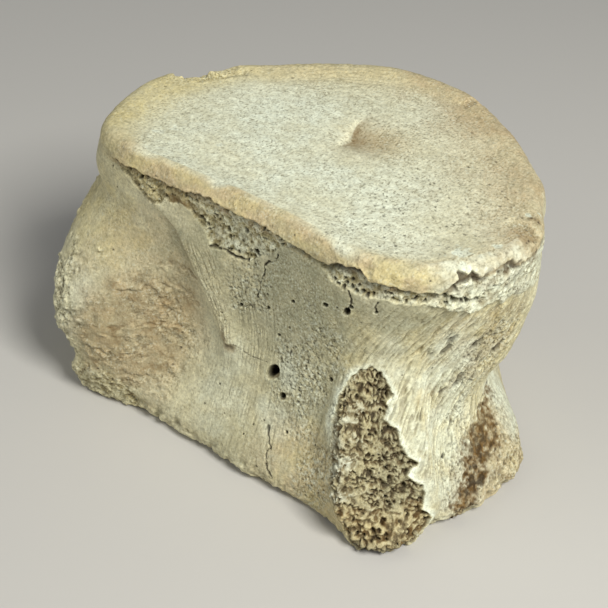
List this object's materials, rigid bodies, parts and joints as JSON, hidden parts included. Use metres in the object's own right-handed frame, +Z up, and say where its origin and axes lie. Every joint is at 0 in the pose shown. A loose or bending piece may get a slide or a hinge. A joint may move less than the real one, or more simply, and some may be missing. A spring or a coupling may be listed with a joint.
{
  "type": "whale vertebra",
  "caption": "Dry, broken body of a baleen whale's thoracic vertebra, standing on its lower end plate, with worn stumps of its processes and spongy bone showing.",
  "frame": {"origin": "centre of the bounding box at its base, on the surface the bone stands on", "axes": "+Z up along the body's own axis, from the lower end plate to the upper one; -Y the way the flat face under the spinal cord looks; +X along the width, towards the animal's left"},
  "size_m": [0.1576, 0.1165, 0.092],
  "materials": {
    "wall_bone": "dry grey-green cortical bone with fine pores",
    "plate_bone": "pale cream end-plate bone, finely pitted",
    "spongy_bone": "open spongy bone, dark in its pores",
    "broken_bone": "worn tan bone with rough broken edges"
  },
  "bodies": {
    "root": {"centrum": "wall_bone", "upper_epiphysis": "plate_bone", "lower_epiphysis": "plate_bone", "left_pedicle_stump": "spongy_bone", "left_process_stump": "broken_bone", "right_process_stump": "broken_bone"}
  },
  "joints": []
}
